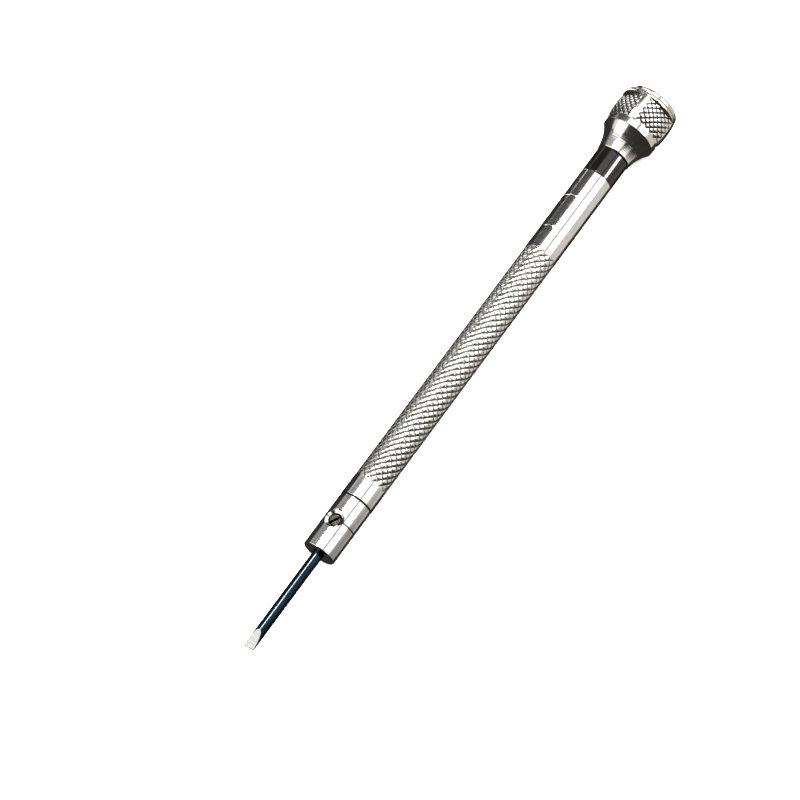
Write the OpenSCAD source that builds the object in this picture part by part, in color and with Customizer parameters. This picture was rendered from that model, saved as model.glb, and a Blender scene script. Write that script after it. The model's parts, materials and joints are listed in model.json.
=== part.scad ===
// Watchmaker's screwdriver with a ball-bearing finger head.
// The tool lies along X: blade tip at -X, finger head at +X, +Z up.
// Every sub-part is drawn about its own Z axis, measured from the front face of the nose,
// and lay() puts that axis level above the bench.

/* [Handle] */
// Diameter of the handle and the collar
body_d = 5.0; // [4.9:0.1:5.4]
// Diameter of the polished nose, a slip fit in a 5 mm stand
nose_d = 4.96; // [4.6:0.02:5.4]
// Length of the polished nose in front of the handle
nose_len = 8.8; // [8:0.1:10]
// Length of the handle barrel
barrel_len = 60.0; // [50:1:75]
// Where the knurl starts, from the front face of the nose
knurl_start = 12.0; // [11:0.1:16]
// Length of the knurl
knurl_len = 42.3; // [35:0.1:45]
// Length of the black collar
collar_len = 4.3; // [3:0.1:6]
// Diameter of the bore that holds the spare blades
store_d = 3.4; // [3.3:0.05:3.5]

/* [Blade] */
// Diameter of the blade, which is also the width of its edge
blade_d = 1.6; // [1.2:0.1:1.6]
// Length of a whole blade
blade_len = 25.0; // [24:0.1:26]
// Length of blade that stands out of the nose
blade_out = 16.2; // [15.5:0.1:18]
// Length of the two ground faces at the tip
grind_len = 2.85; // [2:0.05:4]
// Thickness of the driving edge
edge_t = 0.28; // [0.15:0.01:0.5]
// Roll of the ground faces from level, towards -Y
blade_roll = -6; // [-90:1:90]

/* [Set screw] */
// Distance of the set screw from the front face of the nose
screw_at = 4.8; // [4:0.1:6]
// Diameter of the set screw's hole
screw_hole_d = 2.0; // [1.8:0.1:2.2]
// Diameter of the countersink at the surface
sink_d = 3.2; // [2.6:0.1:3.6]
// Roll of the set screw from straight up, towards +Y
screw_roll = 16; // [-90:1:90]

/* [Head] */
// Length of the finger head
head_len = 10.75; // [10.7:0.05:12]
// Largest diameter of the finger head
head_d = 9.0; // [8.6:0.1:9.6]
// Radius of the head's mouth
mouth_r = 2.62; // [2.6:0.01:2.75]
// Radius of the arc that the head's barrel shape follows
barrel_arc = 13; // [11:0.5:20]
// Distance from the mouth to the end of the flared skirt
skirt_len = 3.9; // [3.6:0.1:4.1]
// Distance from the mouth to the start of the finger panels
panel_start = 5.0; // [4.8:0.1:5.4]
// Distance from the mouth to the end of the finger panels
panel_end = 9.5; // [9.2:0.1:9.6]
// Half the distance across two opposite panels
panel_half = 4.0; // [3.8:0.05:4.2]
// Roll of a land between two panels from straight up, towards +Y
head_roll = 4; // [-6:1:6]

/* [Hidden] */

$fn = 96;
body_r = body_d / 2;
nose_r = nose_d / 2;
eps = 0.5;              // how far a cutting tool runs past what it cuts
slip = 0.01;            // gap between parts that are pressed or screwed together for good
run_gap = 0.03;         // radial gap between parts that slide or turn on each other

// places along the tool, from the front face of the nose
barrel_end = nose_len + barrel_len;
collar_end = barrel_end + collar_len;
head_front = collar_end + 0.12;
head_top = head_front + head_len;
axis_h = head_d / 2;
mid = (head_top - blade_out) / 2;

// screw threads are plain cylinders on their middle diameter
thread_r = 1.85;
spigot_len = 4.2;
plug_len = 4.5;

// nose and handle details
edge_chamfer = 0.15;
line_w = 0.14;          // width of a fine turned line
line_depth = 0.08;      // depth of a fine turned line
joint_w = 0.27;         // half width of the parting groove behind the nose
joint_depth = 0.16;
rear_lines = [knurl_start + knurl_len + 3.8, knurl_start + knurl_len + 9.6];

// set screw
set_screw_r = screw_hole_d / 2 - run_gap;
set_screw_len = 1.0;
slot_w = 0.32;
slot_depth = 0.35;

// bearings: 2 mm bore, 5 mm outside, 2.5 mm wide
bearing_w = 2.5;
bore_r = 1.0;
outer_r = 2.5;
inner_land_r = 1.45;
outer_land_r = 2.1;
ball_r = 0.4;
pitch_r = (inner_land_r + outer_land_r) / 2;
groove_r = ball_r + 0.02;
ball_count = 8;
cage_h = 1.0;
cage_gap = 0.15;
shield_t = 0.12;
shield_inset = 0.08;
front_bearing_z = head_front + 2.7;
spacer_len = 1.2;
rear_bearing_z = front_bearing_z + bearing_w + spacer_len;
bearings_end = rear_bearing_z + bearing_w;

// head
land_count = 4;
belly = head_front + 7.6;             // where the head is widest
panel_arc = 8.4;                      // radius of a panel's crown
joint_line = head_top - 1.0;          // parting line between the shell and the cap
cap_edge_r = 3.4;                     // rim of the flat ring on top
cap_corner = 0.6;                     // height of the rounded corner below that rim
dish_r = 2.9;
dish_depth = 0.3;
inside_mouth_r = 2.25;
flange_r = 2.1;
shoulder_r = 1.35;
skirt_sweep = 15;                     // half the angle that the skirt's arc turns through

// radius of the head's barrel shape at a place along the tool
function head_r(z) = head_d / 2 - barrel_arc + sqrt(barrel_arc * barrel_arc - (z - belly) * (z - belly));
band_r = head_r(head_front + panel_start) - 0.12;   // nearly straight band between the skirt and the lands
// an arc from one point to another that turns through 2 * sweep degrees and sags to the right
function arc_between(from, to, sweep, steps) =
    let (chord = to - from,
         length = norm(chord),
         radius = length / 2 / sin(sweep),
         dir = atan2(chord[1], chord[0]),
         middle = (from + to) / 2 + radius * cos(sweep) * [-sin(dir), cos(dir)])
    [for (i = [0:steps]) middle + radius * [sin(dir - sweep + 2 * sweep * i / steps),
                                            -cos(dir - sweep + 2 * sweep * i / steps)]];

module lay() translate([-mid, 0, axis_h]) rotate([0, 90, 0]) children();

// turns its children to a roll measured from straight up towards +Y
module roll_up(angle) rotate([0, 0, 180 - angle]) children();

module rod(r, from, to) translate([0, 0, from]) cylinder(r = r, h = to - from);

module tube(r_out, r_in, from, to)
    difference() {
        rod(r_out, from, to);
        rod(r_in, from - eps, to + eps);
    }

// the hole for the set screw and its countersink, drilled from the surface to the blade
module screw_drill()
    roll_up(screw_roll)
        translate([0, 0, screw_at]) rotate([0, 90, 0]) {
            rod(screw_hole_d / 2, 0, nose_r + eps);
            translate([0, 0, nose_r - (sink_d - screw_hole_d) / 2])
                cylinder(r1 = screw_hole_d / 2, r2 = sink_d / 2 + eps, h = (sink_d - screw_hole_d) / 2 + eps);
        }

// outline of the nose: chamfered front edge, one fine line, parting groove, threaded spigot
module nose_outline()
    polygon([[0, 0], [nose_r - edge_chamfer, 0], [nose_r, edge_chamfer],
             [nose_r, screw_at - line_w / 2], [nose_r - line_depth, screw_at],
             [nose_r, screw_at + line_w / 2], [nose_r, nose_len - joint_w],
             [nose_r - joint_depth, nose_len], [thread_r, nose_len],
             [thread_r, nose_len + spigot_len], [0, nose_len + spigot_len]]);

module nose_chuck()
    color("gainsboro") lay()
        difference() {
            rotate_extrude() nose_outline();
            rod(blade_d / 2 + run_gap, -eps, blade_len - blade_out + 0.1);
            translate([0, 0, -slip]) cylinder(r1 = blade_d / 2 + 0.2, r2 = blade_d / 2, h = 0.2);
            screw_drill();
        }

// outline of the handle: a groove's half at the front, the knurl's outside, two fine lines
module barrel_outline()
    polygon([[0, nose_len], [body_r - joint_depth, nose_len], [body_r, nose_len + joint_w],
             for (z = rear_lines) each [[body_r, z - line_w / 2], [body_r - line_depth, z],
                                        [body_r, z + line_w / 2]],
             [body_r, barrel_end - edge_chamfer / 2], [body_r - edge_chamfer / 2, barrel_end],
             [0, barrel_end]]);

module handle_barrel()
    color("silver") lay()
        difference() {
            rotate_extrude() barrel_outline();
            rod(store_d / 2, nose_len - eps, barrel_end + eps);
            rod(thread_r + slip, nose_len - eps, nose_len + spigot_len + 0.3);
            rod(thread_r + run_gap, barrel_end - plug_len - 0.5, barrel_end + eps);
        }

// a whole blade that stands on its tip at z = 0, with two ground faces meeting the driving edge
module blade_blank()
    difference() {
        rod(blade_d / 2, 0, blade_len);
        for (side = [0, 180])
            rotate([0, 0, side])
                rotate([90, 0, 0]) translate([0, 0, -blade_d])
                    linear_extrude(2 * blade_d)
                        polygon([[edge_t / 2, -eps / 100], [blade_d, -eps / 100],
                                 [blade_d, grind_len], [blade_d / 2, grind_len]]);
    }

module blade()
    color("midnightblue") lay()
        roll_up(-blade_roll) translate([0, 0, -blade_out]) blade_blank();

module blade_set_screw()
    color("dimgray") lay()
        roll_up(screw_roll)
            translate([0, 0, screw_at]) rotate([0, 90, 0])
                translate([0, 0, blade_d / 2 + slip])
                    difference() {
                        rod(set_screw_r, 0, set_screw_len);
                        rotate([0, 0, 35])
                            translate([-slot_w / 2, -2 * set_screw_r, set_screw_len - slot_depth])
                                cube([slot_w, 4 * set_screw_r, slot_depth + eps]);
                    }

// the spare blades lie side by side in the handle, behind the threaded plug of the spindle
module spare_blade(side)
    color("slategray") lay()
        translate([0.33, side * (blade_d / 2 + 0.02), barrel_end - plug_len - 1 - blade_len]) blade_blank();

module colour_collar()
    color("black") lay()
        difference() {
            rotate_extrude()
                polygon([[0, barrel_end + slip], [body_r - edge_chamfer / 2, barrel_end + slip],
                         [body_r, barrel_end + edge_chamfer / 2], [body_r, collar_end - edge_chamfer / 2],
                         [body_r - edge_chamfer / 2, collar_end], [0, collar_end]]);
            rod(thread_r - 0.1, barrel_end - eps, collar_end + eps);
        }

// threaded plug, neck for the collar, flange behind the collar, journal for the bearings
module head_spindle()
    color("lightgray") lay()
        difference() {
            union() {
                rod(thread_r, barrel_end - plug_len, barrel_end - 0.3);
                rod(thread_r - 0.15, barrel_end - 0.4, collar_end + 0.1);
                rod(flange_r, collar_end + slip, collar_end + 0.5);
                rod(shoulder_r, collar_end + 0.4, front_bearing_z);
                rod(bore_r - slip, front_bearing_z - 0.1, bearings_end - 0.05);
            }
            rod(0.5, bearings_end - 2.6, bearings_end + eps);
        }

// one race of a bearing that starts at z, with the ball groove turned into it
module race(r_out, r_in, z)
    difference() {
        tube(r_out, r_in, z, z + bearing_w);
        translate([0, 0, z + bearing_w / 2])
            rotate_extrude() translate([pitch_r, 0]) circle(r = groove_r, $fn = 48);
    }

module inner_race(z) color("silver") lay() race(inner_land_r, bore_r, z);

module outer_race(z) color("silver") lay() race(outer_r, outer_land_r, z);

module at_balls(z)
    for (i = [0:ball_count - 1])
        rotate([0, 0, 360 / ball_count * i]) translate([pitch_r, 0, z + bearing_w / 2]) children();

module balls(z) color("whitesmoke") lay() at_balls(z) sphere(r = ball_r, $fn = 48);

module ball_cage(z)
    color("peru") lay()
        difference() {
            tube(outer_land_r - cage_gap, inner_land_r + cage_gap,
                 z + (bearing_w - cage_h) / 2, z + (bearing_w + cage_h) / 2);
            at_balls(z) rotate([0, 90, 0]) rod(groove_r, -eps, eps);
        }

module shields(z)
    color("darkgray") lay()
        for (start = [z + shield_inset, z + bearing_w - shield_inset - shield_t])
            tube(outer_land_r - slip, inner_land_r + 0.08, start, start + shield_t);

module inner_race_spacer()
    color("silver") lay()
        tube(shoulder_r, bore_r, front_bearing_z + bearing_w, rear_bearing_z);

module outer_race_spacer()
    color("silver") lay()
        tube(outer_r, outer_land_r + 0.1, front_bearing_z + bearing_w, rear_bearing_z);

module retaining_washer()
    color("silver") lay() tube(shoulder_r, 0.55, bearings_end, bearings_end + 0.2);

module retaining_screw()
    color("dimgray") lay()
        difference() {
            union() {
                rod(0.49, bearings_end - 2.4, bearings_end + 0.3);
                rod(0.9, bearings_end + 0.2, bearings_end + 0.65);
            }
            translate([-1.2, -0.11, bearings_end + 0.4]) cube([2.4, 0.22, eps]);
        }

// outside of the head from the mouth to the parting line: flared skirt, band, then barrel shape
module shell_outline()
    polygon([[0, head_front],
             each arc_between([mouth_r, head_front],
                              [band_r - 0.08, head_front + skirt_len], -skirt_sweep, 10),
             [band_r - 0.02, head_front + skirt_len + 0.05],
             [band_r + 0.02, head_front + panel_start - 0.05],
             for (i = [0:10]) let (z = head_front + panel_start + (joint_line - head_front - panel_start) * i / 10)
                 [head_r(z), z],
             [0, joint_line]]);

// what the crowned panels leave of the head between the lands
module panel_zone()
    intersection_for (i = [0:land_count - 1])
        rotate([0, 0, 360 / land_count * (i + 0.5)])
            translate([panel_half - panel_arc, 0, head_front + panel_start - eps])
                cylinder(r = panel_arc, h = panel_end - panel_start + 2 * eps);

module head_shell()
    color("gainsboro") lay() roll_up(head_roll)
        difference() {
            rotate_extrude() shell_outline();
            difference() {
                rod(head_d, head_front + panel_start, head_front + panel_end);
                panel_zone();
            }
            rod(inside_mouth_r, head_front - eps, joint_line + eps);
            rod(outer_r + slip, front_bearing_z, joint_line + eps);
        }

// the cap closes the bore, holds the bearings down and carries the finger's dish
module finger_cap()
    color("gainsboro") lay()
        difference() {
            union() {
                rotate_extrude()
                    polygon([[0, joint_line + slip],
                             for (i = [0:6]) let (z = joint_line + slip
                                                      + (head_top - cap_corner - joint_line - slip) * i / 6)
                                 [head_r(z), z],
                             [(head_r(head_top - cap_corner) + cap_edge_r) / 2 + 0.08, head_top - cap_corner / 3],
                             [cap_edge_r, head_top], [dish_r, head_top],
                             [dish_r / 2, head_top - dish_depth * 3 / 4], [0, head_top - dish_depth]]);
                rod(outer_r - slip, bearings_end + slip, joint_line + 0.1);
            }
            rod(1.9, bearings_end - eps, joint_line + 0.25);
        }

nose_chuck();
handle_barrel();
blade();
blade_set_screw();
spare_blade(1);  // spare_blade_1
spare_blade(-1);  // spare_blade_2
colour_collar();
head_spindle();
inner_race(front_bearing_z);  // front_inner_race
outer_race(front_bearing_z);  // front_outer_race
ball_cage(front_bearing_z);  // front_ball_cage
balls(front_bearing_z);  // front_balls
shields(front_bearing_z);  // front_shields
inner_race(rear_bearing_z);  // rear_inner_race
outer_race(rear_bearing_z);  // rear_outer_race
ball_cage(rear_bearing_z);  // rear_ball_cage
balls(rear_bearing_z);  // rear_balls
shields(rear_bearing_z);  // rear_shields
inner_race_spacer();
outer_race_spacer();
retaining_washer();
retaining_screw();
head_shell();
finger_cap();
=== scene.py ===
"""Looks of the watchmaker's screwdriver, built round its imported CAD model.

The tool lies along X, blade at -X and finger head at +X. A point on it is given by its place along X,
its distance from the tool's axis, and its angle round the axis, from +Y towards +Z.
"""

import json
import math

import bmesh
import bpy
from mathutils import Matrix, Vector


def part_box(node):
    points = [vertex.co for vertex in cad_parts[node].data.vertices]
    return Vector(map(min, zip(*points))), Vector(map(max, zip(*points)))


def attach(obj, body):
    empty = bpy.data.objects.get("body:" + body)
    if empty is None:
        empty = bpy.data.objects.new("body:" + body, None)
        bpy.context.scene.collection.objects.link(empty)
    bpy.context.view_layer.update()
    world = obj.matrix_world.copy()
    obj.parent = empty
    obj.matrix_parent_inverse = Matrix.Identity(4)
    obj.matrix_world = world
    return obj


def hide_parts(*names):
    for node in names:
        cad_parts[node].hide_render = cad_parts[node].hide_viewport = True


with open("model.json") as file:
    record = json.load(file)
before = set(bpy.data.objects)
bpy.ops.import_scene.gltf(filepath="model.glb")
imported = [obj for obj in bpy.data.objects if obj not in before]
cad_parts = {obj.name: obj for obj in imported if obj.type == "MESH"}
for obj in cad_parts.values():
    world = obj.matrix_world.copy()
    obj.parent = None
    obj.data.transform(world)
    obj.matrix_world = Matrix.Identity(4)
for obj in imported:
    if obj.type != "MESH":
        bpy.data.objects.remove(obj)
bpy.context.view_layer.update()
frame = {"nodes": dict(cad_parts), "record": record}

MM = 0.001


def along(node):
    """Where a node starts and ends along X."""
    low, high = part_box(node)
    return low[0], high[0]


def middle_and_radius(node):
    """Height of a round node's axis, and its radius."""
    low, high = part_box(node)
    return (low[2] + high[2]) / 2, (high[2] - low[2]) / 2


NOSE_START = along("nose_chuck")[0]
COLLAR_START, COLLAR_END = along("colour_collar")
CAP_END = along("finger_cap")[1]
BLADE_START, BLADE_END = along("blade")
AXIS_H, BODY_R = middle_and_radius("handle_barrel")
BLADE_R = (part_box("blade")[1][1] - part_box("blade")[0][1]) / 2

# sizes in mm that the boxes don't give; places along the tool are measured from the nose's front face
PARTING = (along("handle_barrel")[0] - NOSE_START) / MM
THREAD = 1.85            # crest radius of the nose's and the spindle's threads
STORE = 1.70             # radius of the bore for the spare blades
STORE_START, STORE_END = 13.3, 63.8
HANDLE_END = 68.8
BLADE_HOLE = 0.83        # radius of the blade's hole in the nose
SCREW_HOLE = 1.0         # radius of the set screw's hole in the nose
SCREW_LOW, SCREW_HIGH = 0.81, 1.81       # heights of the set screw's ends above the tool's axis
BLADE_ROLL = -6          # angle of the ground faces round the axis, in degrees
HEAD_FRONT = (along("head_shell")[0] - NOSE_START) / MM
HEAD_R = 4.5
BARREL_ARC = 13          # radius of the arc that the head's barrel shape follows
BELLY = HEAD_FRONT + 7.6
PANEL_START, PANEL_END = HEAD_FRONT + 5.0, HEAD_FRONT + 9.28
PANEL_HALF, PANEL_ARC = 4.0, 8.4
PANEL_SINK = 0.09        # how far the lands stand proud of the panels
PANEL_TURN = 86          # angle of one land round the axis, in degrees
JOINT_LINE = 82.97       # where the cap meets the head's shell
SEAT_START, SEAT = 75.92, 2.51           # where the bearings' seat in the head starts, and its radius
RING_DEPTH = 0.018       # depth of the rings turned round the skirt
FINE_LINE = 4.8          # line turned round the nose


# ---------------------------------------------------------------- meshes

def at(place):
    """Place along X of a distance in mm behind the nose's front face."""
    return NOSE_START + place * MM


def on_tool(x, r, angle):
    """A point at x along the tool, r from its axis, at an angle from +Y towards +Z."""
    return Vector((x, r * math.cos(angle), AXIS_H + r * math.sin(angle)))


class Skin:
    """Collects faces in patches whose shared points are merged, and makes one object of them."""

    def __init__(self):
        self.mesh = bmesh.new()
        self.points = {}

    def vert(self, point):
        key = tuple(round(c * 1e8) for c in point)
        if key not in self.points:
            self.points[key] = self.mesh.verts.new(point)
        return self.points[key]

    def face(self, points, slot=0):
        verts = []
        for p in points:
            v = self.vert(p)
            if v not in verts:
                verts.append(v)
        if len(verts) < 3:
            return
        try:
            self.mesh.faces.new(verts).material_index = slot
        except ValueError:
            pass

    def grid(self, rows, slot=0):
        """Quads between rows of points of equal length."""
        for low, high in zip(rows, rows[1:]):
            for k in range(len(low) - 1):
                self.face((low[k], low[k + 1], high[k + 1], high[k]), slot)

    def revolve(self, profile, angles, place=on_tool):
        """A surface turned from a list of (x, r) about the tool's axis, through a list of angles."""
        self.grid([[place(x, r, a) for a in angles] for x, r in profile])

    def as_object(self, name):
        """The mesh so far, as an object with its faces turned outwards."""
        bmesh.ops.remove_doubles(self.mesh, verts=self.mesh.verts, dist=2e-8)
        bmesh.ops.recalc_face_normals(self.mesh, faces=self.mesh.faces)
        data = bpy.data.meshes.new(name)
        self.mesh.to_mesh(data)
        self.mesh.free()
        obj = bpy.data.objects.new(name, data)
        bpy.context.scene.collection.objects.link(obj)
        return obj

    def finish(self, name, materials, body, slot_name, stands_for, cutters=(), sharp=32):
        """Makes the object, cuts it, shades it smooth up to sharp degrees, parents it to its body and hides
        the CAD parts it stands for.
        """
        obj = self.as_object(name)
        for m in materials:
            obj.data.materials.append(m)
        cut_away(obj, cutters)
        shaded = bmesh.new()
        shaded.from_mesh(obj.data)
        for f in shaded.faces:
            f.smooth = True
        for e in shaded.edges:
            if len(e.link_faces) == 2:
                e.smooth = e.calc_face_angle(0) < math.radians(sharp)
        shaded.to_mesh(obj.data)
        shaded.free()
        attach(obj, body)
        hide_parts(*stands_for)
        return obj


def cut_away(obj, cutters):
    """Takes the cutters' volume out of obj, and removes them."""
    for cutter in cutters:
        cut = obj.modifiers.new("cut", "BOOLEAN")
        cut.operation, cut.solver, cut.object = "DIFFERENCE", "EXACT", cutter
        bpy.context.view_layer.update()
        graph = bpy.context.evaluated_depsgraph_get()
        data = bpy.data.meshes.new_from_object(obj.evaluated_get(graph))
        obj.modifiers.remove(cut)
        obj.data = data
        bpy.data.objects.remove(cutter)


def true_shaft(obj, radius):
    """Gives the faces that lie on a shaft of that radius its exact normals, so that it mirrors evenly."""
    data, slack = obj.data, 1.2e-6
    normals = [n.vector.copy() for n in data.corner_normals]
    for face in data.polygons:
        points = [data.vertices[v].co for v in face.vertices]
        if all(abs(math.hypot(p.y, p.z - AXIS_H) - radius) < slack for p in points):
            for corner, p in zip(face.loop_indices, points):
                normals[corner] = Vector((0, p.y, p.z - AXIS_H)).normalized()
    data.normals_split_custom_set(normals)


def full_turn(segments):
    """Angles of one whole turn, the first one repeated at the end."""
    return [2 * math.pi * (k % segments) / segments for k in range(segments + 1)]


def bent(start, end, sweep, steps):
    """Points (x, r) on a hollow arc between two points that turns through twice sweep degrees."""
    a, b = Vector(start), Vector(end)
    chord = b - a
    half = math.radians(sweep)
    radius = chord.length / 2 / math.sin(half)
    middle = (a + b) / 2 + radius * math.cos(half) * Vector((-chord.y, chord.x)).normalized()
    first = math.atan2(a.y - middle.y, a.x - middle.x)
    return [(middle.x + radius * math.cos(first + 2 * half * k / steps),
             middle.y + radius * math.sin(first + 2 * half * k / steps)) for k in range(steps + 1)]


def vee(place, r, width, depth):
    """Profile points in mm of a fine V line turned into a shaft."""
    return [(place - width / 2, r), (place - width / 8, r - depth),
            (place + width / 8, r - depth), (place + width / 2, r)]


# ---------------------------------------------------------------- knurl

class Knurl:
    """Two crossing families of V grooves cut into a surface that is unrolled to (round, along).

    u counts the grooves of one hand and v those of the other, and each hand has its own depth. A groove
    reaches out to groove + bevel of the way to the next one, with its edge bevelled. The land between
    two grooves rises to its middle by dome, a share of the groove's depth. shares are where the mesh has
    its lines across one diamond.
    """

    BEVEL_DROP = 0.14        # share of the depth that the bevel takes

    def __init__(self, pitch_round, pitch_along, depth_u, depth_v, groove, bevel, dome):
        self.pitch_round, self.pitch_along = pitch_round, pitch_along
        self.depth_u, self.depth_v = depth_u, depth_v
        self.inner, self.outer = groove - bevel, groove + bevel
        self.dome = dome
        self.shares = [0, self.inner, self.outer, 0.5, 1 - self.outer, 1 - self.inner, 1]

    def cut(self, share):
        """How deep a groove is, from 0 to 1, at a share of the way to the next groove."""
        near = min(share % 1, 1 - share % 1)
        if near >= self.outer - 1e-9:
            return self.dome * (0.5 - near) / (0.5 - self.outer)
        if near >= self.inner:
            return self.dome + self.BEVEL_DROP * (self.outer - near) / (self.outer - self.inner)
        return 1 - (1 - self.BEVEL_DROP - self.dome) * near / self.inner

    def depth(self, u, v):
        return max(self.depth_u * self.cut(u), self.depth_v * self.cut(v))

    def lay(self, skin, place, count_round, count_along, closed, land_slot, groove_slot):
        """Meshes count_round by count_along pitches. place(round, along, depth) gives a point.

        A patch that is closed goes all the way round. Diamonds on an open edge are halved by it.
        """
        n = len(self.shares) - 1
        slack = 1e-6
        for row in range(2 * count_along + 1):
            for column in range(-1, count_round + 1):
                # cell (i, j) of the (u, v) grid: i - j = row, and its middle is column pitches round
                total = 2 * column + row % 2
                i, j = (total + row) // 2, (total - row) // 2
                if closed and not 0 <= (i + j + 1) / 2 < count_round:
                    continue
                for a in range(n):
                    for b in range(n):
                        corners = []
                        for da, db in ((0, 0), (1, 0), (1, 1), (0, 1)):
                            u, v = i + self.shares[a + da], j + self.shares[b + db]
                            r, s = (u + v) / 2, (u - v) / 2
                            inside_round = closed or -slack <= r <= count_round + slack
                            if inside_round and -slack <= s <= count_along + slack:
                                corners.append((u, v, r % count_round if closed else r, s))
                        if len(corners) < 3:
                            continue
                        points = [place(r * self.pitch_round, s * self.pitch_along, self.depth(u, v))
                                  for u, v, r, s in corners]
                        low_a, low_b = a in (0, n - 1), b in (0, n - 1)
                        slot = groove_slot if low_a or low_b else land_slot
                        if len(points) == 4 and low_a and low_b and (a == 0) != (b == 0):
                            skin.face((points[0], points[1], points[3]), slot)
                            skin.face((points[1], points[2], points[3]), slot)
                        elif len(points) == 4 and low_a and low_b:
                            skin.face((points[0], points[1], points[2]), slot)
                            skin.face((points[0], points[2], points[3]), slot)
                        else:
                            skin.face(points, slot)

    def edge(self, count):
        """Where an edge along one direction has its points, in pitches: the ends of all mesh lines."""
        return [k + s for k in range(count) for s in self.shares[:-1]] + [count]


# ---------------------------------------------------------------- materials

class Finish:
    """A Principled material and the nodes that vary it over the surface."""

    def __init__(self, name, colour, metallic, roughness):
        self.material = bpy.data.materials.new(name)
        self.material.use_nodes = True
        self.tree = self.material.node_tree
        self.shader = self.tree.nodes["Principled BSDF"]
        self.set("Base Color", (*colour, 1.0))
        self.set("Metallic", metallic)
        self.set("Roughness", roughness)
        self.where = self.tree.nodes.new("ShaderNodeTexCoord").outputs["Object"]

    def set(self, socket, value):
        """Puts a constant or another node's output on one of the shader's sockets."""
        if isinstance(value, bpy.types.NodeSocket):
            self.tree.links.new(value, self.shader.inputs[socket])
        else:
            self.shader.inputs[socket].default_value = value

    def node(self, kind, inputs, **settings):
        made = self.tree.nodes.new("ShaderNode" + kind)
        for key, value in settings.items():
            setattr(made, key, value)
        for key, value in inputs.items():
            if isinstance(value, bpy.types.NodeSocket):
                self.tree.links.new(value, made.inputs[key])
            else:
                made.inputs[key].default_value = value
        return made

    def noise(self, grain, detail=3.0):
        """Noise with its own number of grains per metre along X, Y and Z."""
        moved = self.node("Mapping", {"Vector": self.where, "Scale": grain}).outputs["Vector"]
        return self.node("TexNoise", {"Vector": moved, "Scale": 1.0, "Detail": detail}).outputs[0]

    def span(self, value, low, high, start=0.3, end=0.7):
        """A value between start and end, stretched to low and high."""
        return self.node("MapRange", {"Value": value, "From Min": start, "From Max": end,
                                      "To Min": low, "To Max": high}).outputs[0]

    def between(self, share, first, second):
        """A colour from first to second by share."""
        mixed = self.node("Mix", {0: share, 6: (*first, 1.0), 7: (*second, 1.0)}, data_type="RGBA")
        return mixed.outputs[2]

    def relief(self, height, distance, strength=1.0):
        """Bumps the surface by height, with distance in metres."""
        bump = self.node("Bump", {"Height": height, "Distance": distance, "Strength": strength})
        self.set("Normal", bump.outputs[0])


def turned_metal(name, light, dark, smooth, rough, ring_depth, rings=9000, streaks=90):
    """Metal finished in a lathe: rings round the axis in roughness and height, and faint handling marks."""
    finish = Finish(name, light, 1.0, smooth)
    ring = finish.noise((rings, streaks, streaks), 2.0)
    marks = finish.noise((420, 900, 900), 4.0)
    finish.set("Base Color", finish.between(finish.span(marks, 0, 1, 0.45, 0.75), light, dark))
    finish.set("Roughness", finish.span(ring, smooth, rough))
    finish.relief(ring, ring_depth)
    return finish.material


def grained_metal(name, light, dark, smooth, rough, grain, depth):
    """Metal with an even, fine grain, such as ground or hardened steel."""
    finish = Finish(name, light, 1.0, smooth)
    cloud = finish.noise((grain, grain, grain), 5.0)
    finish.set("Base Color", finish.between(finish.span(cloud, 0, 1), light, dark))
    finish.set("Roughness", finish.span(cloud, smooth, rough))
    finish.relief(cloud, depth)
    return finish.material


def black_coating(name):
    """Glossy black anodised aluminium with faint lathe rings and dust."""
    finish = Finish(name, (0.003, 0.003, 0.003), 0.0, 0.09)
    ring = finish.noise((12000, 60, 60), 2.0)
    dust = finish.noise((2600, 2600, 2600), 4.0)
    finish.set("Base Color", finish.between(finish.span(dust, 0, 1, 0.5, 0.8),
                                            (0.0020, 0.0019, 0.0018), (0.006, 0.0055, 0.005)))
    finish.set("Roughness", finish.span(ring, 0.06, 0.15))
    finish.set("Specular IOR Level", 0.55)
    finish.relief(ring, 4e-7)
    return finish.material


def ground_face(name):
    """A face ground by a wheel: fine lines across the blade."""
    finish = Finish(name, (0.88, 0.87, 0.85), 1.0, 0.22)
    line = finish.noise((26000, 500, 500), 2.0)
    finish.set("Base Color", finish.between(finish.span(line, 0, 1), (0.64, 0.63, 0.61), (0.52, 0.51, 0.49)))
    finish.set("Roughness", finish.span(line, 0.18, 0.28))
    finish.relief(line, 1.5e-6)
    return finish.material


def tempered_blue(name):
    """Steel blued by heat: the colour drifts between blue-black and steel blue along the blade."""
    finish = Finish(name, (0.06, 0.10, 0.15), 1.0, 0.16)
    drift = finish.noise((160, 420, 420), 3.0)
    scale = finish.noise((9000, 300, 300), 3.0)
    finish.set("Base Color", finish.between(finish.span(drift, 0, 1),
                                            (0.012, 0.020, 0.033), (0.030, 0.048, 0.060)))
    finish.set("Roughness", finish.span(scale, 0.12, 0.24))
    finish.relief(scale, 6e-7)
    return finish.material


POLISHED = turned_metal("polished_steel", (0.86, 0.85, 0.84), (0.77, 0.76, 0.74), 0.10, 0.15, 3e-7)
LANDS = turned_metal("knurl_lands", (0.92, 0.91, 0.88), (0.76, 0.74, 0.70), 0.12, 0.24, 8e-7, 5200, 1400)
# painted shade: the handle's knurl grooves get a darker steel than its lands
GROOVE_SHADE = grained_metal("knurl_grooves_painted_shade", (0.40, 0.38, 0.35), (0.14, 0.13, 0.12), 0.22, 0.40, 5200, 2e-6)
HEAD_STEEL = turned_metal("head_steel", (0.85, 0.83, 0.79), (0.70, 0.66, 0.60), 0.12, 0.19, 8e-7, 7000)
BLUED = tempered_blue("blued_steel")
GROUND = ground_face("ground_steel")
DARK_SCREW = grained_metal("dark_screw_steel", (0.20, 0.185, 0.15), (0.06, 0.055, 0.045), 0.25, 0.45, 2600, 5e-6)
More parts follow.
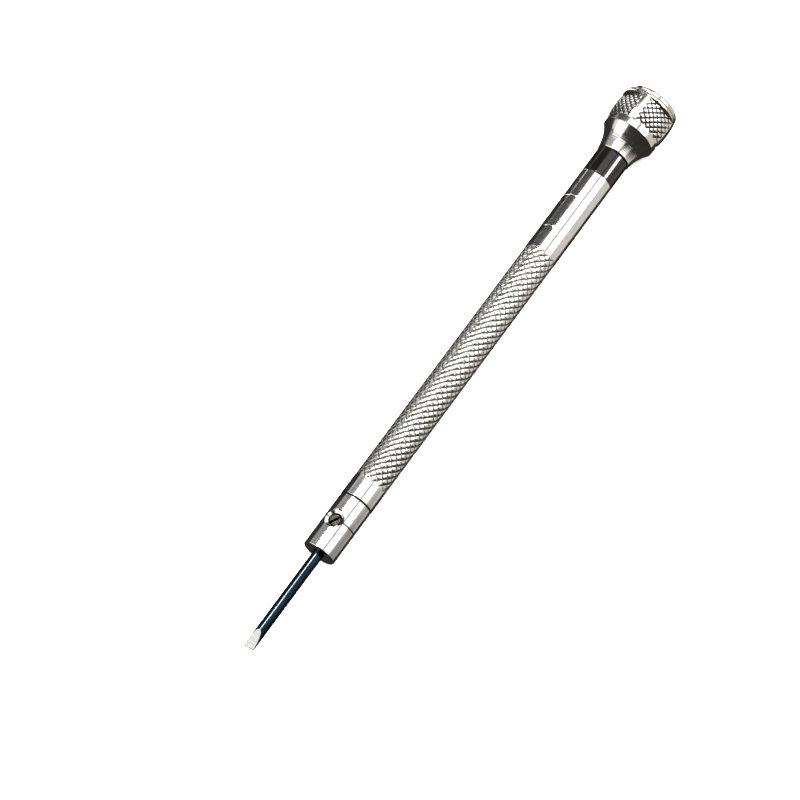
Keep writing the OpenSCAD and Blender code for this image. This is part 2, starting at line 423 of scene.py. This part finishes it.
# painted shade: a darker steel for faces deep in turned lines and the parting line, for the head's knurl
# grooves and for the sides of its lands
LINE_SHADE = grained_metal("painted_line_shade", (0.16, 0.15, 0.13), (0.05, 0.045, 0.04), 0.30, 0.50, 4200, 2e-6)
# painted shade: a near-black steel for the inside of the set screw's slot
SLOT_SHADE = grained_metal("slot_painted_shade", (0.020, 0.018, 0.015), (0.008, 0.007, 0.006), 0.35, 0.5, 3600, 5e-6)
BLACK = black_coating("black_anodised")
TURNED = turned_metal("turned_steel", (0.74, 0.73, 0.71), (0.55, 0.53, 0.50), 0.18, 0.32, 1.5e-6, 6000)
BEARING = turned_metal("bearing_steel", (0.82, 0.82, 0.83), (0.70, 0.70, 0.71), 0.05, 0.12, 4e-7)
SHIELD = grained_metal("shield_steel", (0.60, 0.60, 0.60), (0.46, 0.45, 0.44), 0.28, 0.40, 2600, 2e-6)
CAGE = grained_metal("cage_brass", (0.78, 0.58, 0.26), (0.60, 0.42, 0.17), 0.22, 0.38, 2600, 2e-6)


# ---------------------------------------------------------------- nose and blade

def set_screw_frame():
    """The set screw's place along X and its angle round the tool, from its joint's direction."""
    low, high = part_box("blade_set_screw")
    joints = frame["record"]["behaviour"]["joints"]
    axis = [j["axis"] for j in joints if j["name"] == "set_screw_out"][0]
    return (low[0] + high[0]) / 2, math.atan2(axis[2], axis[1])


SCREW_X, SCREW_ANGLE = set_screw_frame()


def on_screw(height, r, angle):
    """A point at a height above the tool's axis along the set screw, r from the screw's own axis."""
    side = r * math.sin(angle)
    return Vector((SCREW_X + r * math.cos(angle),
                   height * math.cos(SCREW_ANGLE) - side * math.sin(SCREW_ANGLE),
                   AXIS_H + height * math.sin(SCREW_ANGLE) + side * math.cos(SCREW_ANGLE)))


def mm(profile):
    """A profile of (place behind the nose's front face, r) in mm, as (x, r) in metres."""
    return [(at(z), r * MM) for z, r in profile]


def rounded(z, r, edge, back):
    """Points in mm of a rounded edge of a shaft: rising to (z, r) at its front, or falling behind it."""
    steps = 4
    turns = [math.radians(90 * k / steps) for k in range(steps + 1)]
    if back:
        return [(z - edge + edge * math.sin(t), r - edge + edge * math.cos(t)) for t in turns]
    return [(z + edge - edge * math.cos(t), r - edge + edge * math.sin(t)) for t in turns]


def build_nose():
    """The nose: chamfered front with the blade's hole, one fine line, and the threaded spigot behind it."""
    nose_r = (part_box("nose_chuck")[1][1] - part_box("nose_chuck")[0][1]) / 2 / MM
    bore_end, spigot_end = 8.9, PARTING + 4.2
    outside = [(bore_end, 0), (bore_end, BLADE_HOLE), (0.12, BLADE_HOLE), (0, BLADE_HOLE + 0.14)]
    outside += rounded(0, nose_r, 0.13, False)
    outside += vee(FINE_LINE, nose_r, 0.20, 0.11)
    outside += [(PARTING - 0.12, nose_r), (PARTING - 0.02, nose_r - 0.20), (PARTING, nose_r - 0.26)]
    outside += [(PARTING, THREAD), (spigot_end - 0.1, THREAD), (spigot_end, THREAD - 0.1), (spigot_end, 0)]
    skin = Skin()
    skin.revolve(mm(outside), full_turn(192))

    drill = Skin()
    low, high, countersink_low, countersink_r = BLADE_HOLE * 0.4, nose_r + 0.5, nose_r - 0.42, 1.38
    hole = [(low, 0), (low, SCREW_HOLE), (countersink_low - 0.17, SCREW_HOLE),
            (countersink_low, countersink_r), (high, countersink_r + 0.08), (high, 0)]
    drill.revolve([(h * MM, r * MM) for h, r in hole], full_turn(96), place=on_screw)
    nose = skin.finish("nose", [POLISHED, LINE_SHADE], "handle", "polished_steel", ["nose_chuck"],
                       cutters=[drill.as_object("drill")])
    true_shaft(nose, nose_r * MM)
    # painted shade deep in the fine line and the parting line
    paint_line_shade(nose, [(FINE_LINE - 0.08, FINE_LINE + 0.08, nose_r - 0.03),
                (PARTING - 0.09, PARTING + 0.01, nose_r - 0.08)], 1)


def paint_line_shade(obj, lines, slot):
    """Gives faces deep in turned lines another material, a darker one: painted shade in the lines.

    A line is its start, its end and the radius that its painted-shade faces lie below, all in mm.
    """
    inside_r = 2
    for face in obj.data.polygons:
        z = (face.center.x - NOSE_START) / MM
        r = math.hypot(face.center.y, face.center.z - AXIS_H) / MM
        if any(start < z < end and inside_r < r < mouth for start, end, mouth in lines):
            face.material_index = slot


def screw_thread(start, end, crest, root, pitch, rows):
    """A function for a screw thread's radius at a place and an angle, and the places of its mesh rows.

    All in mm. The crests are flattened, and the thread fades out at its ends.
    """
    crest_cut = 1.6

    def radius(z, angle):
        turn = (z / pitch - angle / (2 * math.pi)) % 1
        height = min(1, crest_cut * (1 - abs(2 * turn - 1)))
        ends = min(1, (z - start) / pitch * 2, (end - z) / pitch * 2)
        return root + (crest - root) * height * max(0, ends)
    return radius, [start + (end - start) * k / rows for k in range(rows + 1)]


def build_set_screw():
    """The M2 set screw: threaded, with a chamfered top and a driving slot."""
    low, high, crest, pitch = SCREW_LOW, SCREW_HIGH, 0.97, 0.4
    angles = full_turn(64)
    radius, rows = screw_thread(low + 0.02, high - 0.10, crest, crest - 0.12, pitch, 24)
    skin = Skin()
    grid = [[on_screw(low * MM, r * MM, a) for a in angles] for r in (0, crest - 0.2)]
    grid += [[on_screw(h * MM, radius(h, a) * MM, a) for a in angles] for h in rows]
    grid += [[on_screw(high * MM, r * MM, a) for a in angles] for r in (crest - 0.2, 0)]
    skin.grid(grid)
    slot = Skin()
    turn, half, reach, floor = math.radians(-58), 0.21, 1.4, high - 0.45
    corners = [(-half, -reach), (half, -reach), (half, reach), (-half, reach)]
    rings = []
    for h in (floor, high + 0.4):
        ring = []
        for a, b in corners + corners[:1]:
            ring.append(on_screw(h * MM, math.hypot(a, b) * MM, math.atan2(b, a) + turn))
        rings.append(ring)
    slot.grid(rings)
    for ring in rings:
        slot.face(ring[:4])
    screw = skin.finish("set_screw", [DARK_SCREW, SLOT_SHADE], "set_screw", "dark_screw_steel",
                        ["blade_set_screw"], cutters=[slot.as_object("slot")])
    # faces inside the slot get the painted shade (slot 1)
    middle, out = on_screw(0, 0, 0), on_screw(1, 0, 0) - on_screw(0, 0, 0)
    for face in screw.data.polygons:
        height = (face.center - middle).dot(out)
        from_axis = (face.center - middle - height * out).length
        if floor * MM - 1e-6 < height < (high - 0.01) * MM and from_axis < (crest - 0.25) * MM:
            face.material_index = 1


def build_blade():
    """A round blued blade with two ground faces that meet the driving edge."""
    radius, half_edge, ground = BLADE_R / MM, 0.14, 2.85
    level = math.radians(BLADE_ROLL)
    bow, across = 14, 8          # mesh steps along an arc, and across a flat
    hollow = 1.12                # above 1, the ground faces are slightly hollow

    def ring(x, half, r):
        """One section: two arcs joined by two flats that are half a thickness from the middle."""
        split = math.asin(min(1, half / r))
        points = []
        for side in (0, math.pi):
            for k in range(bow + 1):
                t = -split + 2 * split * k / bow
                points.append((r * math.cos(t + side), r * math.sin(t + side)))
            if half < r:
                a, b = points[-1], (-points[-1][0], points[-1][1])
                points += [(a[0] + (b[0] - a[0]) * k / across, a[1]) for k in range(1, across)]
            else:
                points += [points[-1]] * (across - 1)
        points.append(points[0])
        return [on_tool(x, math.hypot(w, h) * MM, math.atan2(h, w) + level) for w, h in points]

    skin = Skin()
    grind = [(0, half_edge - 0.03, radius - 0.05), (0.04, half_edge, radius - 0.015),
             (0.10, half_edge + 0.02, radius)]
    steps = 12
    for k in range(1, steps + 1):
        share = k / steps
        grind.append((ground * share, half_edge + (radius - half_edge) * share ** hollow, radius))
    rows = [ring(BLADE_START + s * MM, half, r) for s, half, r in grind]
    straight = [BLADE_START + (ground + 0.3) * MM, BLADE_END - 0.2 * MM]
    rows += [ring(x, radius, radius) for x in straight] + [ring(BLADE_END, radius - 0.1, radius - 0.1)]
    turn = bow + across
    for number, (low, high) in enumerate(zip(rows, rows[1:])):
        for k in range(len(low) - 1):
            flat = number < len(grind) - 1 and k % turn >= bow
            skin.face((low[k], low[k + 1], high[k + 1], high[k]), 1 if flat else 0)
    skin.face(rows[0][:-1], 0)
    skin.face(rows[-1][:-1], 0)
    blade = skin.finish("blade_rod", [BLUED, GROUND], "blade", "blued_steel", ["blade"], sharp=14)
    true_shaft(blade, BLADE_R)


# ---------------------------------------------------------------- handle and collar

def build_handle():
    """The barrel: polished ends, a diamond knurl between them, two fine lines, and the store's bore."""
    count_round, count_along = 14, 38
    start, length = 12.0, 42.3
    knurl = Knurl(2 * math.pi / count_round, length / count_along, 0.06, 0.15, 0.128, 0.03, 0.18)
    angles = [2 * math.pi * (p % count_round) / count_round for p in knurl.edge(count_round)]
    body = BODY_R / MM

    def place(turn, along_it, depth):
        ends = min(1, 2 * along_it / knurl.pitch_along, 2 * (length - along_it) / knurl.pitch_along)
        return on_tool(at(start + along_it), (body - depth * max(0, ends)) * MM, turn)

    skin = Skin()
    # the knurl's grooves (slot 2) get the painted shade
    knurl.lay(skin, place, count_round, count_along, True, 1, 2)
    first_line, second_line, socket = 58.1, 63.9, THREAD + 0.01
    front = [(STORE_START, STORE), (STORE_START, socket), (PARTING + 0.01, socket),
             (PARTING + 0.01, body - 0.26), (PARTING + 0.03, body - 0.20), (PARTING + 0.13, body - 0.02),
             (PARTING + 0.18, body)]
    skin.revolve(mm(front + [(start, body)]), angles)
    back = [(start + length, body)] + vee(first_line, body, 0.26, 0.023) + vee(second_line, body, 0.34, 0.030)
    back += rounded(HANDLE_END, body, 0.09, True)
    back += [(HANDLE_END, THREAD + 0.03), (STORE_END, THREAD + 0.03), (STORE_END, STORE)]
    back += [(STORE_START, STORE)]
    skin.revolve(mm(back), angles)
    handle = skin.finish("handle", [POLISHED, LANDS, GROOVE_SHADE, LINE_SHADE], "handle", "knurled_steel",
                         ["handle_barrel"], sharp=24)
    true_shaft(handle, BODY_R)
    # painted shade deep in the parting line
    paint_line_shade(handle, [(PARTING - 0.01, PARTING + 0.09, body - 0.08)], 3)


def build_collar():
    """The black ring between the handle and the head."""
    body = BODY_R / MM
    start, end = (COLLAR_START - NOSE_START) / MM, (COLLAR_END - NOSE_START) / MM
    bore, edge = 1.76, 0.10
    ring = [(start, bore)] + rounded(start, body, edge, False) + rounded(end, body, edge, True)
    ring += [(end, bore), (start, bore)]
    skin = Skin()
    skin.revolve(mm(ring), full_turn(160))
    collar = skin.finish("collar_ring", [BLACK], "collar", "black_anodised", ["colour_collar"])
    true_shaft(collar, BODY_R)


def build_spindle():
    """The spindle: threaded plug, neck under the collar, flange, shoulder and the bearings' journal."""
    angles = full_turn(96)
    plug_start, plug_end, pitch = 64.3, 68.5, 0.5
    neck_r, flange_r, shoulder_r, journal_r, screw_r = 1.70, 2.10, 1.35, 0.99, 0.5
    flange_start, flange_end, journal_end, screw_end = 73.11, 73.6, 82.07, 79.52
    radius, rows = screw_thread(plug_start, plug_end, THREAD, THREAD - 0.22, pitch, 84)
    skin = Skin()
    grid = [[on_tool(at(plug_start), r * MM, a) for a in angles] for r in (0, THREAD - 0.24)]
    grid += [[on_tool(at(z), radius(z, a) * MM, a) for a in angles] for z in rows]
    rest = [(plug_end + 0.1, neck_r), (flange_start, neck_r),
            (flange_start, flange_r - 0.08), (flange_start + 0.08, flange_r),
            (flange_end - 0.08, flange_r), (flange_end, flange_r - 0.08),
            (flange_end, shoulder_r), (SEAT_START, shoulder_r),
            (SEAT_START, journal_r), (journal_end - 0.07, journal_r),
            (journal_end, journal_r - 0.07), (journal_end, screw_r), (screw_end, screw_r), (screw_end, 0)]
    grid += [[on_tool(x, r, a) for a in angles] for x, r in mm(rest)]
    skin.grid(grid)
    skin.finish("spindle_core", [TURNED], "spindle", "turned_steel", ["head_spindle"])


# ---------------------------------------------------------------- finger head

def head_r(z):
    """Radius in mm of the head's barrel shape at a place along the tool."""
    return HEAD_R - BARREL_ARC + math.sqrt(BARREL_ARC ** 2 - (z - BELLY) ** 2)


def panel_r(alpha, z):
    """Radius in mm of a finger panel, alpha radians from its middle."""
    crown = PANEL_HALF - PANEL_ARC
    flat = crown * math.cos(alpha) + math.sqrt(PANEL_ARC ** 2 - (crown * math.sin(alpha)) ** 2)
    return flat - (HEAD_R - head_r(z)) - PANEL_SINK


def build_head():
    """The head's shell: flared skirt, band, four knurled panels between four lands, and a rear rim."""
    lands = [math.radians(PANEL_TURN + 90 * k) for k in range(4)]
    half_land, half_knurl = math.radians(6.4), math.radians(37.4)
    half_panel = math.pi / 4 - half_land
    rows_along, rows_round = 4, 5
    knurl_start, knurl_end = 78.44, 82.30
    knurl = Knurl(2 * half_knurl / rows_round, (knurl_end - knurl_start) / rows_along,
                  0.13, 0.20, 0.17, 0.04, 0.10)
    knurled = [-half_knurl + p * knurl.pitch_round for p in knurl.edge(rows_round)]
    across = [-half_panel] + knurled + [half_panel]
    land_steps = [half_land * (k / 3 - 1) for k in range(7)]
    angles = []
    for land in lands:
        angles += [land + s for s in land_steps[:-1]] + [land + math.pi / 4 + a for a in across[:-1]]
    angles.append(angles[0])
    skin = Skin()

    mouth_z, mouth_r, skirt_start, skirt_end, shell_end = 73.22, 2.25, 73.31, 77.12, JOINT_LINE - 0.02
    rings_start, rings_end = 73.55, 75.3
    mouth = mm([(shell_end, SEAT), (SEAT_START, SEAT), (SEAT_START, mouth_r), (mouth_z + 0.08, mouth_r),
                (mouth_z, mouth_r + 0.08), (mouth_z, 2.52), (mouth_z + 0.03, 2.59), (skirt_start, 2.63)])
    curve = bent((at(skirt_start), 2.63 * MM), (at(skirt_end), 4.04 * MM), 15, 44)
    ringed = []
    for k, (x, r) in enumerate(curve):
        z = (x - NOSE_START) / MM
        cut = RING_DEPTH if rings_start < z < rings_end and k % 3 == 1 else 0
        ringed.append((x, r - cut * MM))
    band_r = 4.10
    band = mm([(skirt_end + 0.02, band_r - 0.04), (skirt_end + 0.07, band_r), (78.14, band_r + 0.04),
               (PANEL_START, band_r)])
    skin.revolve(mouth + ringed + band, angles)

    edge_high = head_r(PANEL_END) - 0.01
    rim = [(PANEL_END, edge_high), (PANEL_END + 0.04, head_r(PANEL_END + 0.04)), (82.80, head_r(82.80)),
           (82.88, head_r(82.88) - 0.03), (shell_end, head_r(shell_end) - 0.16), (shell_end, SEAT)]
    skin.revolve(mm(rim), angles)

    along_knurl = [knurl_start + p * knurl.pitch_along for p in knurl.edge(rows_along)]
    land_rows = [PANEL_START] + along_knurl + [PANEL_END]
    levels = [(PANEL_START, band_r)] + [(z, head_r(z)) for z in land_rows[1:-1]] + [(PANEL_END, edge_high)]
    fade_rate = 5                # grooves reach full depth a fifth of a pitch inside the knurl's edge
    for land in lands:
        skin.revolve(mm(levels), [land + s for s in land_steps])
        middle = land + math.pi / 4
        for side in (-1, 1):
            edge = middle + side * half_panel
            tops = [on_tool(x, r, edge) for x, r in mm(levels)]
            feet = [on_tool(at(z), panel_r(half_panel, z) * MM, edge) for z in land_rows]
            # the sides of the lands get the painted shade (slot 2)
            skin.grid([tops, feet], 2)
        for z, r in ((PANEL_START, band_r), (PANEL_END, edge_high)):
            skin.grid([[on_tool(at(z), r * MM, middle + a) for a in across],
                       [on_tool(at(z), panel_r(a, z) * MM, middle + a) for a in across]])

        def place(turn, along_it, depth):
            alpha, z = -half_knurl + turn, knurl_start + along_it
            width, length = 2 * half_knurl, rows_along * knurl.pitch_along
            near = min(turn / knurl.pitch_round, (width - turn) / knurl.pitch_round,
                       along_it / knurl.pitch_along, (length - along_it) / knurl.pitch_along)
            fade = min(1, max(0, fade_rate * near))
            return on_tool(at(z), (panel_r(alpha, z) - depth * fade) * MM, middle + alpha)

        # the knurl's grooves get the painted shade (slot 2)
        knurl.lay(skin, place, rows_round, rows_along, False, 1, 2)
        for low, high in ((land_rows[0], along_knurl[0]), (along_knurl[-1], land_rows[-1])):
            skin.grid([[on_tool(at(z), panel_r(a, z) * MM, middle + a) for a in across] for z in (low, high)])
        for side in (-1, 1):
            skin.grid([[on_tool(at(z), panel_r(half, z) * MM, middle + side * half) for z in along_knurl]
                       for half in (half_knurl, half_panel)])
    skin.finish("head_grip", [HEAD_STEEL, LANDS, LINE_SHADE], "head", "head_steel", ["head_shell"], sharp=24)


def build_cap():
    """The cap that a fingertip presses on: rounded rim, flat ring and a shallow dish."""
    foot, start, top = 82.13, JOINT_LINE + 0.01, (CAP_END - NOSE_START) / MM
    inside, inside_r, plug_r = 83.22, 1.9, 2.49
    side, shoulder = start + 0.14, top - 0.62
    profile = [(inside, 0), (inside, inside_r), (foot, inside_r), (foot, plug_r), (start, plug_r),
               (start, head_r(start) - 0.16), (start + 0.07, head_r(start + 0.07) - 0.03)]
    profile += [(z, head_r(z)) for z in (side + (shoulder - side) * k / 5 for k in range(6))]
    rim_r, flat_r, steps = head_r(shoulder), 3.36, 10
    for k in range(1, steps + 1):
        t = math.radians(90 * k / steps)
        profile.append((shoulder + (top - shoulder) * math.sin(t), flat_r + (rim_r - flat_r) * math.cos(t)))
    dish_r, dish_depth = 2.9, 0.3
    profile += [(top, dish_r + 0.1), (top - 0.02, dish_r)]
    profile += [(top - dish_depth + (dish_depth - 0.02) * (r / dish_r) ** 2, r)
                for r in (2.5, 2.0, 1.5, 1.0, 0.5, 0)]
    skin = Skin()
    skin.revolve(mm(profile), full_turn(160))
    skin.finish("head_cap", [HEAD_STEEL], "head", "polished_steel", ["finger_cap"])


def finish_inside():
    """Materials for the CAD parts that stay as they are: bearings, spacers, retaining parts, spare blades."""
    looks = {"spacer": TURNED, "race": BEARING, "ball_cage": CAGE, "balls": BEARING, "shields": SHIELD,
             "washer": TURNED, "retaining_screw": DARK_SCREW, "spare_blade": BLUED}
    for name, obj in frame["nodes"].items():
        for word, material in looks.items():
            if word in name:
                obj.data.materials.clear()
                obj.data.materials.append(material)
                break


# ---------------------------------------------------------------- studio

def look_at_tool():
    """The camera: it faces the middle of the tool from above, then turns so that the tool sits off-centre."""
    azimuth, elevation = math.radians(-55.9), math.radians(65.6)
    distance, focal_share = 0.400, 3.5925    # metres, and the focal length as a share of the sensor's width
    off_right, off_up = 0.0750, 0.0459       # how far off-centre the tool sits, as shares of the picture
    middle = Vector((at(34.16), 0, AXIS_H))
    gaze = Vector((-math.sin(azimuth) * math.cos(elevation), math.cos(azimuth) * math.cos(elevation),
                   -math.sin(elevation)))
    right = Vector((math.cos(azimuth), math.sin(azimuth), 0))
    up = right.cross(gaze)
    forward = (gaze - off_right / focal_share * right - off_up / focal_share * up).normalized()
    right = (right - right.dot(forward) * forward).normalized()
    up = right.cross(forward)
    data = bpy.data.cameras.new("camera")
    data.sensor_width = 36
    data.lens = data.sensor_width * focal_share
    data.clip_start, data.clip_end = 0.01, 20
    camera = bpy.data.objects.new("camera", data)
    bpy.context.scene.collection.objects.link(camera)
    turn = Matrix((right, up, -forward)).transposed().to_4x4()
    camera.matrix_world = Matrix.Translation(middle - distance * gaze) @ turn
    bpy.context.scene.camera = camera


def lay_floor():
    """A plain pale floor that curves up at its far edge. It doesn't show in the metal."""
    finish = Finish("floor", (0.9, 0.9, 0.9), 0.0, 0.6)
    cloud = finish.noise((3, 3, 3), 2.0)
    finish.set("Base Color", finish.between(cloud, (0.91, 0.91, 0.91), (0.89, 0.89, 0.89)))
    skin = bmesh.new()
    rings = [(2.2, 0), (2.7, 0.08), (3.0, 0.35), (3.1, 0.9), (3.1, 2.6)]
    count = 96
    turns = [2 * math.pi * k / count for k in range(count)]
    loops = [[skin.verts.new((r * math.cos(t), r * math.sin(t), z)) for t in turns] for r, z in rings]
    skin.faces.new(loops[0])
    for low, high in zip(loops, loops[1:]):
        for k in range(count):
            skin.faces.new((low[k], low[(k + 1) % count], high[(k + 1) % count], high[k])).smooth = True
    data = bpy.data.meshes.new("floor")
    skin.to_mesh(data)
    skin.free()
    data.materials.append(finish.material)
    floor = bpy.data.objects.new("floor", data)
    floor.visible_glossy = False
    bpy.context.scene.collection.objects.link(floor)


CARD_DISTANCE = 0.6      # from the tool's axis to every card, in metres


def hang_card(name, round_from, round_to, lean_from, lean_to, glow, tint=(1, 1, 1)):
    """A soft light beside the tool that its metal mirrors, of an even glow.

    It spans two angles round the tool and two leans from straight out towards the head, in degrees.
    """
    middle = math.radians((round_from + round_to) / 2)
    ends = [CARD_DISTANCE * math.tan(math.radians(lean)) for lean in (lean_from, lean_to)]
    width = 2 * CARD_DISTANCE * math.tan(math.radians((round_to - round_from) / 2))
    data = bpy.data.lights.new(name, "AREA")
    data.shape = "RECTANGLE"
    data.size, data.size_y = ends[1] - ends[0], width
    data.energy = glow * math.pi * data.size * data.size_y
    data.color = tint
    card = bpy.data.objects.new(name, data)
    bpy.context.scene.collection.objects.link(card)
    outward = Vector((0, math.cos(middle), math.sin(middle)))
    along_x = Vector((1, 0, 0))
    turn = Matrix((along_x, outward.cross(along_x), outward)).transposed().to_4x4()
    card.matrix_world = Matrix.Translation(on_tool(sum(ends) / 2, CARD_DISTANCE, middle)) @ turn
    card.visible_camera = False
    card.visible_diffuse = False


def light_studio():
    """Long soft lights that the metal mirrors, a fill light for the floor, and a dark room around them."""
    # the bright band left of the middle, and the grey steps at its edge
    hang_card("card_left_near", 69, 110.7, -6, 18, 1.4)
    hang_card("card_left_far", 66, 110.7, 18, 78, 1.4)
    hang_card("card_edge_light", 61, 69, -6, 18, 0.8)
    hang_card("card_edge_dark", 54, 61, -6, 18, 0.45)
    # the head's skirt leans towards the blade's end, so it mirrors lights there
    hang_card("card_skirt", 24, 72, -49, -8, 1.4)
    hang_card("card_skirt_side", 8, 24, -46, -6, 0.8)
    hang_card("card_skirt_middle", 24, 54, -8, -2, 1.0)
    hang_card("card_skirt_soft", 15, 54, -2, 3, 0.35)
    hang_card("card_left_low", 72, 96, -9, -6, 0.8)
    # the bright band right of the middle, after a gap that shows as a fine line
    hang_card("card_right_near", 130, 158, 3, 11, 0.55)
    hang_card("card_right", 116.7, 160, 11, 78, 1.6)
    # strong strips that only the black collar and the blued blade need
    hang_card("strip_collar", 134, 151, 26.8, 29.4, 44)
    hang_card("strip_blade", 63, 73, 6, 14.4, 90, (1, 0.97, 0.93))
    # the warm grey band at the right
    hang_card("card_warm_near", 160, 222, 11, 14.6, 0.27, (1, 0.96, 0.92))
    hang_card("card_warm_far", 160, 222, 14.8, 70, 0.64, (1, 0.95, 0.90))
    # the dark band at the left, with more light for the knurls and the lines turned in the handle
    hang_card("card_dim_near", 4, 54, -2, 14.6, 0.25)
    hang_card("card_knurl", 12, 60, 15.8, 21.5, 0.9)
    hang_card("card_dim_far", 4, 63, 24.3, 42, 0.04)
    hang_card("card_tick", 18, 62, 45, 51, 1.8)
    hang_card("card_panel", -60, 10, 31.2, 41, 2.1)

    data = bpy.data.lights.new("fill", "AREA")
    data.shape = "DISK"
    data.size = 2.6
    data.energy = 300
    fill = bpy.data.objects.new("fill", data)
    fill.location = (0, 0, 2.2)
    fill.visible_camera = False
    fill.visible_glossy = False
    bpy.context.scene.collection.objects.link(fill)

    world = bpy.data.worlds.new("room")
    world.use_nodes = True
    world.node_tree.nodes["Background"].inputs["Color"].default_value = (0.032, 0.030, 0.028, 1)
    world.node_tree.nodes["Background"].inputs["Strength"].default_value = 1.0
    bpy.context.scene.world = world
    bpy.context.scene.view_settings.view_transform = "Standard"


build_nose()
build_set_screw()
build_blade()
build_handle()
build_collar()
build_spindle()
build_head()
build_cap()
finish_inside()
look_at_tool()
lay_floor()
light_studio()
